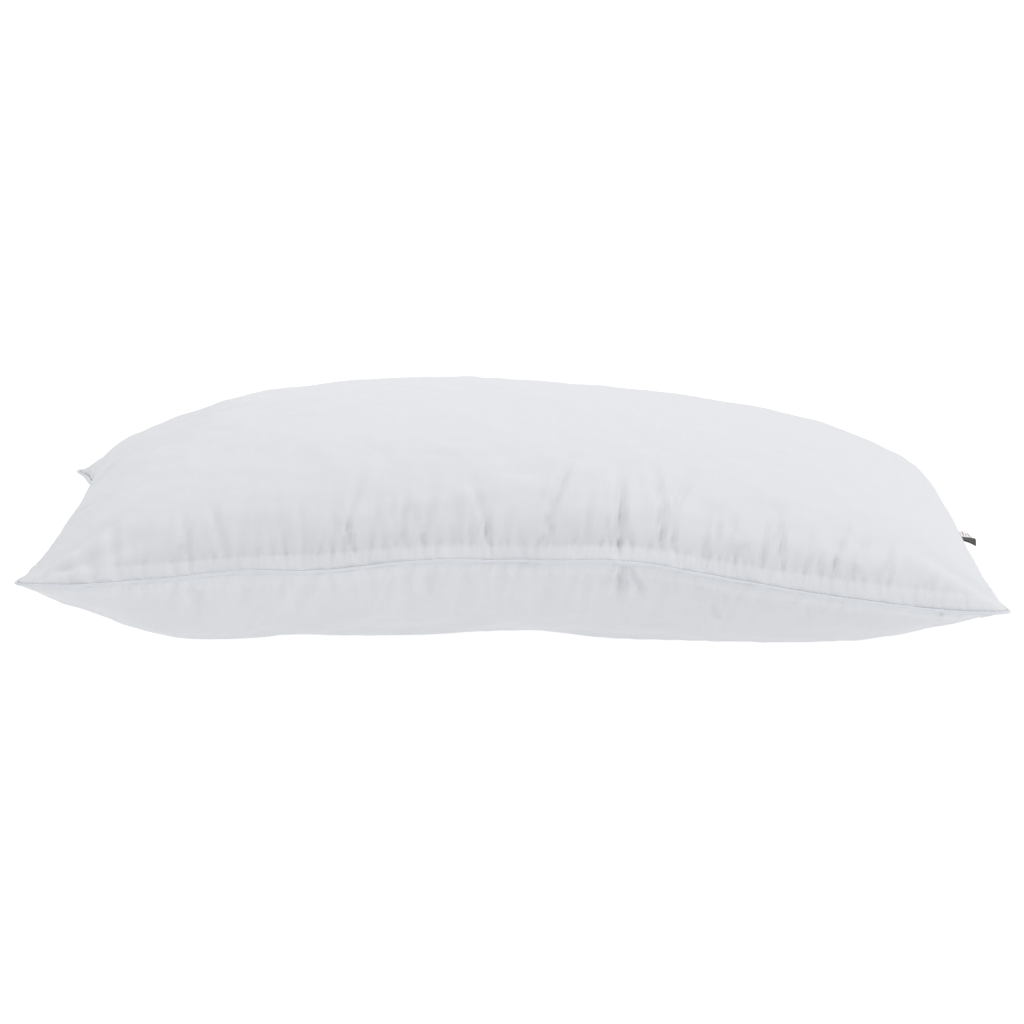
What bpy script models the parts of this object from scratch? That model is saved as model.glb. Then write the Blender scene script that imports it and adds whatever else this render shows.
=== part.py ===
"""Bed pillow: two ticking panels sewn together round a fine piping and stuffed with polyester fibre.

Metres, +Z up, X along the long sides. The origin is the middle of the pillow, on the surface that it lies on, and the
front long side faces -Y. Every point of the casing is found from its place in the cut cloth: u runs from -1 to 1 along
the length and v from -1 to 1 across the width, so that all the layers of the seam share the same facets.
"""

import math

import bpy
from mathutils import Vector

MM = 0.001

# The casing's finished size, laid flat and empty.
CASE_LENGTH = 700 * MM
CASE_WIDTH = 500 * MM

# The stuffed pillow: the filling draws the corners in a little, and the middle of each side more. The crown's lean is
# how much more filling lies in the left half: that much higher half way to the left end, and that much lower right.
CROWN_HEIGHT = 154 * MM
CROWN_LEAN = 4.5 * MM
LENGTH_TAKE_UP = 25 * MM
WIDTH_TAKE_UP = 20 * MM
LEFT_END_PULL_IN = 26 * MM
RIGHT_END_PULL_IN = 14 * MM
SIDE_PULL_IN = 26 * MM
CROWN_POWER_ALONG = 2.2
CROWN_POWER_ACROSS = 2.2

# The seam's height over the bed at each corner, and how much higher it runs half way along a side.
CORNER_HEIGHT = {(-1, -1): 53 * MM, (1, -1): 34 * MM, (-1, 1): 53 * MM, (1, 1): 19 * MM}
LONG_SIDE_LIFT = 21 * MM
SHORT_END_LIFT = 18 * MM

# The underside is fuller towards the ends. It lies flat where its loft is over a share, and rolls up to the seam.
FLAT_FROM_LOFT = 0.68
UNDERSIDE_POWER_ALONG = 4.0
UNDERSIDE_ROLL_POWER = 1.1

# Cloth and thread.
TICKING = 0.4 * MM
TAPE = 0.3 * MM
LABEL_TAPE = 0.3 * MM
THREAD_DIAMETER = 0.4 * MM
OVERLOCK_THREAD = 0.3 * MM
GAP = 0.3 * MM

# The seam: allowances turned inside, and the piping's flange between them.
ALLOWANCE = 9.5 * MM
EDGE_ROLL = 2.4 * MM
STITCH_INSET = 2.5 * MM
OVERLOCK_REACH = 4 * MM
PIPING_CORD_DIAMETER = 1.6 * MM
PIPING_SET_OUT = 2.0 * MM
CLOSING_SEAM_LENGTH = 240 * MM

# The filling stops short of the turned-in allowances.
FILL_CLEARANCE = 4 * MM
FILL_GAP = 0.4 * MM

# Two labels caught in the seam of the right-hand end, given by their distance from the front corner.
SIDE_LABEL_FROM_CORNER = 208 * MM
SIDE_LABEL_WIDTH = 12 * MM
SIDE_LABEL_REACH = 9 * MM
CARE_LABEL_WIDTH = 18 * MM
CARE_LABEL_REACH = 7.5 * MM
LABEL_SPACING = 0.8 * MM
LABEL_ROOT = 8 * MM
LABEL_CURL = 4 * MM

# Facets.
RIM_SHARES = (0.15, 0.45)
CELLS_TO_MIDDLE_ALONG = 8
CELLS_TO_MIDDLE_ACROSS = 5
LEAST_CELL = 7 * MM
BEAD_FACETS = 7
BORE_FACETS = 6
CORD_FACETS = 6
THREAD_FACETS = 5

# Worked out from the sizes above.
HALF_LENGTH = (CASE_LENGTH - LENGTH_TAKE_UP) / 2
HALF_WIDTH = (CASE_WIDTH - WIDTH_TAKE_UP) / 2
FILL_MARGIN = ALLOWANCE + FILL_CLEARANCE
FLANGE_HALF = GAP / 2 + TAPE
TOP_FOLD = FLANGE_HALF + GAP + LABEL_TAPE + GAP
BOTTOM_FOLD = -(FLANGE_HALF + GAP)
BORE_RADIUS = PIPING_CORD_DIAMETER / 2 + GAP
BEAD_RADIUS = BORE_RADIUS + TAPE
SIDE_LABEL_START = -HALF_WIDTH + SIDE_LABEL_FROM_CORNER
CARE_LABEL_START = SIDE_LABEL_START + SIDE_LABEL_WIDTH + LABEL_SPACING

# Colours are linear RGB.
WHITE_TICKING = (0.80, 0.82, 0.84)
WHITE_SATIN = (0.82, 0.84, 0.88)
FIBRE_WHITE = (0.86, 0.86, 0.86)
LABEL_WHITE = (0.78, 0.76, 0.76)
LABEL_BLACK = (0.02, 0.015, 0.018)


def seam_height(u, v):
    """Height of the seam's middle surface: the corners' heights blended, with the lift between corners."""
    blended = sum(
        height * (1 + side_u * u) * (1 + side_v * v) / 4
        for (side_u, side_v), height in CORNER_HEIGHT.items()
    )
    return blended + LONG_SIDE_LIFT * (1 - u * u) ** 2 + SHORT_END_LIFT * u * u * (1 - v * v) ** 2


def plan(u, v, grow=0.0):
    """Place in plan of a point of the casing, with every side set out by grow."""
    end_pull_in = (LEFT_END_PULL_IN * (1 - u) + RIGHT_END_PULL_IN * (1 + u)) / 2
    x = u * (HALF_LENGTH - end_pull_in * (1 - v * v) + grow)
    y = v * (HALF_WIDTH - SIDE_PULL_IN * (1 - u * u) + grow)
    return x, y


def seam_point(u, v, grow, rise):
    """A point of the seam's cross-section: grow outwards from the seam line and rise above its middle plane."""
    x, y = plan(u, v, grow)
    return Vector((x, y, seam_height(u, v) + rise))


def loft(u, v, power_along):
    """How full the pillow is there, from 0 at the seam to 1 at the middle."""
    along = max(0.0, 1 - abs(u) ** power_along)
    across = max(0.0, 1 - abs(v) ** CROWN_POWER_ACROSS)
    return math.sqrt(along * across)


def top_point(u, v):
    """The outer face of the upper panel."""
    edge = seam_height(u, v) + TOP_FOLD + EDGE_ROLL
    crown = CROWN_HEIGHT - CROWN_LEAN * math.sin(math.pi * u)
    x, y = plan(u, v)
    return Vector((x, y, edge + (crown - edge) * loft(u, v, CROWN_POWER_ALONG)))


def bottom_point(u, v):
    """The outer face of the lower panel, which is flat where it lies on the bed."""
    x, y = plan(u, v)
    share = min(1.0, loft(u, v, UNDERSIDE_POWER_ALONG) / FLAT_FROM_LOFT)
    left = (1 - share) ** UNDERSIDE_ROLL_POWER
    return Vector((x, y, (seam_height(u, v) + BOTTOM_FOLD - EDGE_ROLL) * left))


def half_stations(half, cells):
    """Distances from the seam to the middle: close together over the allowance, then in even steps."""
    rim = [0.0] + [share * FILL_MARGIN for share in RIM_SHARES] + [FILL_MARGIN]
    step = (half - FILL_MARGIN) / cells
    return rim + [FILL_MARGIN + step * (i + 1) for i in range(cells)]


def stations(half, cells, extra=()):
    """The grid's lines from -1 to 1, with a line at each extra distance from the middle and none too near it."""
    from_seam = half_stations(half, cells)
    places = [d - half for d in from_seam] + [half - d for d in reversed(from_seam[:-1])]
    rim = half - FILL_MARGIN
    inner = [p for p in places if abs(p) < rim - MM / 1000]
    kept = [p for p in inner if all(abs(p - e) > LEAST_CELL for e in extra)]
    outer = [p for p in places if p not in inner]
    return [p / half for p in sorted(outer + kept + list(extra))]


LABEL_LINES = (
    SIDE_LABEL_START,
    CARE_LABEL_START - LABEL_SPACING / 2,
    CARE_LABEL_START + CARE_LABEL_WIDTH,
)
US = stations(HALF_LENGTH, CELLS_TO_MIDDLE_ALONG)
VS = stations(HALF_WIDTH, CELLS_TO_MIDDLE_ACROSS, LABEL_LINES)


def rim_places():
    """(u, v) all round the seam, anticlockwise from above, starting at the front left corner."""
    front = [(u, -1.0) for u in US]
    right = [(1.0, v) for v in VS[1:]]
    back = [(u, 1.0) for u in reversed(US[:-1])]
    left = [(-1.0, v) for v in reversed(VS[1:-1])]
    return front + right + back + left


RIM = rim_places()


def material(name, colour, roughness, sheen=0.0):
    made = bpy.data.materials.new(name)
    made.use_nodes = True
    shader = made.node_tree.nodes["Principled BSDF"]
    shader.inputs["Base Color"].default_value = (*colour, 1)
    shader.inputs["Roughness"].default_value = roughness
    shader.inputs["Metallic"].default_value = 0.0
    shader.inputs["Sheen Weight"].default_value = sheen
    made.diffuse_color = (*colour, 1)
    return made


def add_object(name, points, faces, surface):
    mesh = bpy.data.meshes.new(name)
    mesh.from_pydata([tuple(p) for p in points], [], faces)
    mesh.materials.append(surface)
    mesh.shade_smooth()
    mesh.set_sharp_from_angle(angle=math.radians(50))
    made = bpy.data.objects.new(name, mesh)
    bpy.context.scene.collection.objects.link(made)
    return made


def ring_faces(rings, closed_along, closed_across):
    """Faces between rings of points' numbers that run along the seam. They face out of a clockwise section."""
    count = len(rings[0])
    steps = count if closed_along else count - 1
    pairs = list(zip(rings, rings[1:]))
    if closed_across:
        pairs.append((rings[-1], rings[0]))
    faces = []
    for near, far in pairs:
        for k in range(steps):
            after = (k + 1) % count
            faces.append((near[k], far[k], far[after], near[after]))
    return faces


def panel(name, surface_point, fold, side, surface):
    """A panel of ticking: its domed sheet, the short wall at its edge and the allowance turned inside.

    side is 1 for the upper panel and -1 for the lower. The sheet is the outer face, and Solidify gives it its
    thickness inwards.
    """
    points, number = [], {}
    for u in US:
        for v in VS:
            number[u, v] = len(points)
            points.append(surface_point(u, v))
    faces = []
    for near_u, far_u in zip(US, US[1:]):
        for near_v, far_v in zip(VS, VS[1:]):
            corners = [(near_u, near_v), (far_u, near_v), (far_u, far_v), (near_u, far_v)]
            faces.append(tuple(number[c] for c in corners))

    rings = [[number[place] for place in RIM]]
    for grow in (0.0, -ALLOWANCE):
        ring = []
        for u, v in RIM:
            ring.append(len(points))
            points.append(seam_point(u, v, grow, fold))
        rings.append(ring)
    faces += ring_faces(rings, closed_along=True, closed_across=False)
    if side < 0:
        faces = [face[::-1] for face in faces]

    made = add_object(name, points, faces, surface)
    thickness = made.modifiers.new("cloth", "SOLIDIFY")
    thickness.thickness = TICKING
    thickness.offset = -1
    thickness.use_even_offset = True
    thickness.use_rim = True
    return made


def swept(name, section, surface, places=None):
    """A solid whose cross-section runs along the seam: section holds (grow, rise) pairs, clockwise.

    It runs right round the pillow, or from the first to the last of the places given.
    """
    route = places or RIM
    points, rings = [], []
    for grow, rise in section:
        ring = []
        for u, v in route:
            ring.append(len(points))
            points.append(seam_point(u, v, grow, rise))
        rings.append(ring)
    faces = ring_faces(rings, closed_along=places is None, closed_across=True)
    if places:
        faces.append(tuple(ring[0] for ring in reversed(rings)))
        faces.append(tuple(ring[-1] for ring in rings))
    return add_object(name, points, faces, surface)


def circle(centre_grow, centre_rise, radius, facets):
    """A round section, clockwise when outwards is to the right."""
    turns = [-math.tau * i / facets for i in range(facets)]
    return [(centre_grow + radius * math.cos(t), centre_rise + radius * math.sin(t)) for t in turns]


def bead_arc(radius, half_slit, facets):
    """Points of the piping's bead from the top of its slit clockwise to the bottom of it."""
    mouth = math.pi - math.asin(half_slit / radius)
    turns = [mouth - 2 * mouth * i / (facets - 1) for i in range(facets)]
    return [(PIPING_SET_OUT + radius * math.cos(t), radius * math.sin(t)) for t in turns]


def piping_tape(surface):
    """The strip folded round the cord: a bead outside the seam, and two flange layers caught in it."""
    flange_end = -ALLOWANCE
    outside = [(flange_end, FLANGE_HALF), *bead_arc(BEAD_RADIUS, FLANGE_HALF, BEAD_FACETS), (flange_end, -FLANGE_HALF)]
    slit = bead_arc(BORE_RADIUS, GAP / 2, BORE_FACETS)
    inside = [(flange_end, -GAP / 2), *reversed(slit), (flange_end, GAP / 2)]
    return swept("piping_tape", outside + inside, surface)


def overlock(surface):
    """Overlock stitching that wraps the raw edges of all the layers, as one channel-shaped band."""
    near = -(ALLOWANCE - OVERLOCK_REACH)
    web = -(ALLOWANCE + GAP)
    far = web - OVERLOCK_THREAD
    top = TOP_FOLD + TICKING + GAP
    bottom = BOTTOM_FOLD - TICKING - GAP
    section = [
        (near, top),
        (web, top),
        (web, bottom),
        (near, bottom),
        (near, bottom - OVERLOCK_THREAD),
        (far, bottom - OVERLOCK_THREAD),
        (far, top + OVERLOCK_THREAD),
        (near, top + OVERLOCK_THREAD),
    ]
    return swept("overlock_thread", section, surface)


def closing_places():
    """The stretch of the back seam that is sewn shut after filling, on the seam's own facets."""
    share = CLOSING_SEAM_LENGTH / 2 / HALF_LENGTH
    inside = [u for u in US if abs(u) < share - LEAST_CELL / HALF_LENGTH]
    return [(u, 1.0) for u in [share, *reversed(inside), -share]]


def threads(surface):
    radius = THREAD_DIAMETER / 2
    needle = circle(-STITCH_INSET, TOP_FOLD + TICKING + GAP + radius, radius, THREAD_FACETS)
    swept("seam_needle_thread", needle, surface)
    bobbin = circle(-STITCH_INSET, BOTTOM_FOLD - TICKING - GAP - radius, radius, THREAD_FACETS)
    swept("seam_bobbin_thread", bobbin, surface)
    in_ditch = circle(GAP + radius, TOP_FOLD + GAP + radius, radius, THREAD_FACETS)
    swept("closing_thread", in_ditch, surface, closing_places())


def filling(surface):
    """The fibre mass: it fills the casing up to the turned-in allowances, with flat sides there."""
    inner_u = [u for u in US if abs(u) <= 1 - FILL_MARGIN / HALF_LENGTH + 1e-6]
    inner_v = [v for v in VS if abs(v) <= 1 - FILL_MARGIN / HALF_WIDTH + 1e-6]
    step = 1e-4
    inset = TICKING + FILL_GAP
    points, number = [], {}
    for layer, surface_point, sign in (("top", top_point, 1), ("bottom", bottom_point, -1)):
        for u in inner_u:
            for v in inner_v:
                along = surface_point(u + step, v) - surface_point(u - step, v)
                across = surface_point(u, v + step) - surface_point(u, v - step)
                outwards = sign * along.cross(across).normalized()
                number[layer, u, v] = len(points)
                points.append(surface_point(u, v) - inset * outwards)
    faces = []
    for near_u, far_u in zip(inner_u, inner_u[1:]):
        for near_v, far_v in zip(inner_v, inner_v[1:]):
            corners = [(near_u, near_v), (far_u, near_v), (far_u, far_v), (near_u, far_v)]
            faces.append(tuple(number["top", *c] for c in corners))
            faces.append(tuple(number["bottom", *c] for c in reversed(corners)))
    edge = [(u, inner_v[0]) for u in inner_u] + [(inner_u[-1], v) for v in inner_v[1:]]
    edge += [(u, inner_v[-1]) for u in reversed(inner_u[:-1])] + [(inner_u[0], v) for v in reversed(inner_v[1:-1])]
    for near, far in zip(edge, edge[1:] + edge[:1]):
        faces.append((number["bottom", *near], number["bottom", *far], number["top", *far], number["top", *near]))
    return add_object("fibre_fill", points, faces, surface)


def label_route(reach):
    """(grow, rise) along the middle of a label: out of the seam, over the piping and outwards with a slight curl."""
    in_seam = FLANGE_HALF + GAP + LABEL_TAPE / 2
    over_bead = BEAD_RADIUS + GAP + LABEL_TAPE / 2 + GAP / 4
    turns = [math.radians(a) for a in (138, 112, 86, 60)]
    arc = [(PIPING_SET_OUT + over_bead * math.cos(t), over_bead * math.sin(t)) for t in turns]
    start_grow, start_rise = arc[-1]
    steps = 4
    flap = []
    for i in range(1, steps + 1):
        share = i / steps
        flap.append((start_grow + reach * share, start_rise + LABEL_CURL * share * (share - 0.45)))
    return [(-LABEL_ROOT, in_seam), (-GAP, in_seam), *arc, *flap]


def label(name, start, width, reach, surface):
    """A woven tape folded back on itself, its two leaves pressed flat, as one strip caught in the end seam."""
    route = [Vector((grow, rise)) for grow, rise in label_route(reach)]
    sides = {1: [], -1: []}
    for i, point in enumerate(route):
        along = (route[min(i + 1, len(route) - 1)] - route[max(i - 1, 0)]).normalized()
        upwards = Vector((-along.y, along.x))
        for side in sides:
            sides[side].append(point + side * LABEL_TAPE / 2 * upwards)
    section = [tuple(p) for p in sides[1]] + [tuple(p) for p in reversed(sides[-1])]
    last = start + width
    between = [v for v in VS if start + MM < v * HALF_WIDTH < last - MM]
    places = [(1.0, v) for v in (start / HALF_WIDTH, *between, last / HALF_WIDTH)]
    return swept(name, section, surface, places)


def clear_scene():
    for old in list(bpy.data.objects):
        bpy.data.objects.remove(old)


def build():
    clear_scene()
    ticking = material("white_ticking", WHITE_TICKING, 0.9, sheen=0.2)
    satin = material("white_satin_tape", WHITE_SATIN, 0.55)
    cotton = material("cotton_cord", FIBRE_WHITE, 0.95)
    thread = material("polyester_thread", WHITE_SATIN, 0.6)
    fibre = material("polyester_fibre", FIBRE_WHITE, 1.0)
    black_tape = material("black_woven_tape", LABEL_BLACK, 0.7)
    white_tape = material("white_printed_tape", LABEL_WHITE, 0.6)

    panel("top_panel", top_point, TOP_FOLD, 1, ticking)
    panel("bottom_panel", bottom_point, BOTTOM_FOLD, -1, ticking)
    piping_tape(satin)
    cord_section = circle(PIPING_SET_OUT, 0, PIPING_CORD_DIAMETER / 2, CORD_FACETS)
    swept("piping_cord", cord_section, cotton)
    threads(thread)
    overlock(thread)
    filling(fibre)
    label("side_label", SIDE_LABEL_START, SIDE_LABEL_WIDTH, SIDE_LABEL_REACH, black_tape)
    label("care_label", CARE_LABEL_START, CARE_LABEL_WIDTH, CARE_LABEL_REACH, white_tape)


build()
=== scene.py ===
import math

import bpy
import numpy as np
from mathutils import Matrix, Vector


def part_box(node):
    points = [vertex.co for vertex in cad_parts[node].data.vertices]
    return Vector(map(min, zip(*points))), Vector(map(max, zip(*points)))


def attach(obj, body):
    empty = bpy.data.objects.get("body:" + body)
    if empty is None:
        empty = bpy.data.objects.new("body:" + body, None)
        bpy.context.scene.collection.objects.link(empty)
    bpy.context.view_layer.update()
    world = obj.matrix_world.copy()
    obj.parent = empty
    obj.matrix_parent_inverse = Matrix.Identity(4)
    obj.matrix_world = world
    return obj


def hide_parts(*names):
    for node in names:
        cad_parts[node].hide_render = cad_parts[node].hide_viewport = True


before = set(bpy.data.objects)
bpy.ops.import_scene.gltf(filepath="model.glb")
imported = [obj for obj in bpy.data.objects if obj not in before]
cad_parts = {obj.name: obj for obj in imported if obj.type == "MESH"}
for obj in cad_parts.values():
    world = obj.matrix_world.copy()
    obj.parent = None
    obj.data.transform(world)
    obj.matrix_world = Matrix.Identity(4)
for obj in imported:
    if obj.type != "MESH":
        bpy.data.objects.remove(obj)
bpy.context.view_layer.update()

# ---------------------------------------------------------------- sizes, in metres
MM = 0.001

# The casing as it was cut and sewn, before it was stuffed. x runs along its length and y across it.
CUT_LENGTH = 700 * MM
CUT_WIDTH = 500 * MM

# The stuffed shape is the CAD panels': their box, and the proportions that part.py gives them.
PANEL_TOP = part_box("top_panel")[1]
HALF_LENGTH, HALF_WIDTH = PANEL_TOP[:2]
CROWN_HEIGHT = 154 * MM
CROWN_LEAN = 4.5 * MM
LEFT_END_PULL_IN = 26 * MM
RIGHT_END_PULL_IN = 14 * MM
SIDE_PULL_IN = 26 * MM
CROWN_POWER = 2.2
FRONT_LEFT, FRONT_RIGHT, BACK_LEFT, BACK_RIGHT = 53 * MM, 34 * MM, 53 * MM, 19 * MM
LONG_SIDE_LIFT = 21 * MM
SHORT_END_LIFT = 18 * MM
# The front seam's own waves: where along it, from -1 to 1, how far they spread, and their rise in millimetres.
FRONT_SEAM_WAVES = [(0.24, 0.16, 5.0), (-0.38, 0.10, -2.5), (-0.12, 0.08, 1.0)]
# The underside lies flat where its loft is over this share, and rolls up to the seam outside that.
FLAT_FROM_LOFT = 0.68
UNDERSIDE_POWER_ALONG = 4.0
UNDERSIDE_ROLL_POWER = 1.1

# Cloth simulation. The volume is in cubic metres, the weight in newtons and the mass in kilograms.
SIM_CELL = 7 * MM
SIM_FRAMES = 50
SIM_FILL_VOLUME = 0.0285
SIM_PRESSURE = 200
SIM_FLOOR_GAP = 4 * MM
SIM_WEIGHT = 9.0
GRAVITY = 9.81
CLOTH_VERTEX_MASS = 0.002
CLOTH_THICKNESS = 0.4 * MM
CUT_LIES_AT = 50 * MM
# How much of the simulated seam's waves is smoothed away, and how much of the cloth's folds is kept, when the
# settled cloth is fitted to the CAD panels.
SEAM_WAVES_SMOOTHED = 0.5
FOLDS_KEPT = 0.5

# The finished cloth mesh: a rim of fine facets round the seam, and wider cells inside it.
RIM_DEPTHS = [0, 0.8, 1.8, 3, 4.5, 6, 7.5, 9, 10.5, 12]
RIM_DEPTH = RIM_DEPTHS[-1] * MM
CELL_ALONG = 2.8 * MM
CELL_ACROSS = 3.6 * MM
RIM_STEPS_PER_CELL = 2
CORNER_RADIUS = 9 * MM

# The seam stands out as a lip, as far as the allowances inside stiffen it. It is slight at the right end, and drawn
# in a little at the left one. The back left corner stands out as an ear.
LIP_WIDTH_ABOVE = 9.5 * MM
LIP_WIDTH_BELOW = 14 * MM
LIP_REACH = 6.8 * MM
LEFT_END_LIP_REACH = -1.0 * MM
RIGHT_END_LIP_REACH = 1.5 * MM
CORNER_LIP_REACH = 3.5 * MM
EAR_REACH = 4.5 * MM
CORNER_LIP_LENGTH = 40 * MM
# Its way out is worked out at this many places round the seam.
LIP_PLACES = 800

# Piping, thread and labels. A label's root is how far it runs into the seam.
PIPING_RADIUS = 0.95 * MM
PIPING_SET_OUT = 1.6 * MM
PIPING_FACETS = 10
STITCH_PITCH = 2.8 * MM
STITCH_LENGTH = 2.1 * MM
STITCH_INSET = 1.1 * MM
THREAD_RADIUS = 0.2 * MM
CLOSING_LENGTH = 240 * MM
CLOSING_PITCH = 4.5 * MM
LABEL_THICKNESS = 0.22 * MM
LABEL_ROOT = 2.5 * MM
TAB_FLAT_LENGTH = 30 * MM
TAB_REACH = 12.5 * MM
CARE_FLAT_LENGTH = 14 * MM
CARE_REACH = 11 * MM


# ---------------------------------------------------------------- smooth randomness
def cubic_weights(f):
    """Uniform cubic B-spline weights of the four points round a place that is f past the second."""
    g = 1 - f
    return [g**3 / 6, (3 * f**3 - 6 * f**2 + 4) / 6, (3 * g**3 - 6 * g**2 + 4) / 6, f**3 / 6]


def edged(grid):
    """The grid with one more row on every side, so that the spline through it ends on its outer rows."""
    grid = np.concatenate([2 * grid[:1] - grid[1:2], grid, 2 * grid[-1:] - grid[-2:-1]])
    return np.concatenate([2 * grid[:, :1] - grid[:, 1:2], grid, 2 * grid[:, -1:] - grid[:, -2:-1]], axis=1)


def spline_sheet(grid, a, b):
    """Values of a smooth sheet over an edged grid, at row a and column b, which may be fractions."""
    rows, columns = grid.shape[0] - 3, grid.shape[1] - 3
    i = np.clip(np.floor(a).astype(int), 0, rows - 1)
    j = np.clip(np.floor(b).astype(int), 0, columns - 1)
    value = 0
    for di, wi in enumerate(cubic_weights(a - i)):
        for dj, wj in enumerate(cubic_weights(b - j)):
            weight = wi * wj
            value = value + grid[i + di, j + dj] * (weight[..., None] if grid.ndim == 3 else weight)
    return value


def lumps(x, y, spacing, seed):
    """Smooth noise of about one unit over the cut cloth, its lumps about that spacing apart."""
    rows = int(CUT_LENGTH / spacing) + 4
    columns = int(CUT_WIDTH / spacing) + 4
    table = np.random.default_rng(seed).normal(0, 1.6, (rows + 2, columns + 2))
    return spline_sheet(table, (x + CUT_LENGTH / 2) / spacing + 0.5, (y + CUT_WIDTH / 2) / spacing + 0.5)


def wander(s, around, spacing, seed):
    """Smooth noise along a closed line of length around."""
    count = max(4, round(around / spacing))
    table = np.random.default_rng(seed).normal(0, 1.4, count)
    place = (s / around * count) % count
    i = np.floor(place).astype(int)
    return sum(w * table[(i + k - 1) % count] for k, w in enumerate(cubic_weights(place - i)))


def ease(low, high, value):
    """0 below low, 1 above high, and smooth between."""
    t = np.clip((value - low) / (high - low), 0, 1)
    return t * t * (3 - 2 * t)


# ---------------------------------------------------------------- the stuffed shape
def seam_height(u, v):
    corners = (1 - u) * (1 - v) * FRONT_LEFT + (1 + u) * (1 - v) * FRONT_RIGHT
    corners = corners + (1 - u) * (1 + v) * BACK_LEFT + (1 + u) * (1 + v) * BACK_RIGHT
    height = corners / 4 + LONG_SIDE_LIFT * (1 - u * u) ** 2 + SHORT_END_LIFT * u * u * (1 - v * v) ** 2
    for middle, spread, rise in FRONT_SEAM_WAVES:
        height = height + rise * MM * np.exp(-(((u - middle) / spread) ** 2)) * ((1 - v) / 2) ** 3
    return height


def end_pull_in(u):
    return (LEFT_END_PULL_IN * (1 - u) + RIGHT_END_PULL_IN * (1 + u)) / 2


def plan(u, v):
    x = u * (HALF_LENGTH - end_pull_in(u) * (1 - v * v))
    y = v * (HALF_WIDTH - SIDE_PULL_IN * (1 - u * u))
    return x, y


def stuffed_height(u, v, side):
    along = CROWN_POWER if side > 0 else UNDERSIDE_POWER_ALONG
    loft = np.sqrt(np.clip((1 - np.abs(u) ** along) * (1 - np.abs(v) ** CROWN_POWER), 0, 1))
    seam = seam_height(u, v)
    if side > 0:
        crown = CROWN_HEIGHT - CROWN_LEAN * np.sin(math.pi * u)
        return seam + (crown - seam) * loft
    return seam * (1 - np.minimum(1, loft / FLAT_FROM_LOFT)) ** UNDERSIDE_ROLL_POWER


def stuffed(u, v, side):
    x, y = plan(u, v)
    return np.stack([x, y, stuffed_height(u, v, side)], axis=-1)


# ---------------------------------------------------------------- cloth simulation
SIM_ROWS = round(CUT_LENGTH / SIM_CELL)
SIM_COLUMNS = round(CUT_WIDTH / SIM_CELL)


def cloth_grid():
    """The simulated cloth's points as shares of its cut, from -1 to 1 along and across."""
    along, across = np.linspace(-1, 1, SIM_ROWS + 1), np.linspace(-1, 1, SIM_COLUMNS + 1)
    return np.meshgrid(along, across, indexing="ij")


def casing_numbers():
    """Point numbers of the two panels' grids, which share the seam's points."""
    top = np.arange((SIM_ROWS + 1) * (SIM_COLUMNS + 1)).reshape(SIM_ROWS + 1, SIM_COLUMNS + 1)
    bottom = top.copy()
    inner = bottom[1:-1, 1:-1]
    inner[:] = top.size + np.arange(inner.size).reshape(inner.shape)
    return top, bottom


def grid_faces(numbers, side):
    a, b, c, d = numbers[:-1, :-1], numbers[1:, :-1], numbers[1:, 1:], numbers[:-1, 1:]
    faces = np.stack([a, b, c, d] if side > 0 else [a, d, c, b], axis=-1)
    return faces.reshape(-1, 4)


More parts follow.
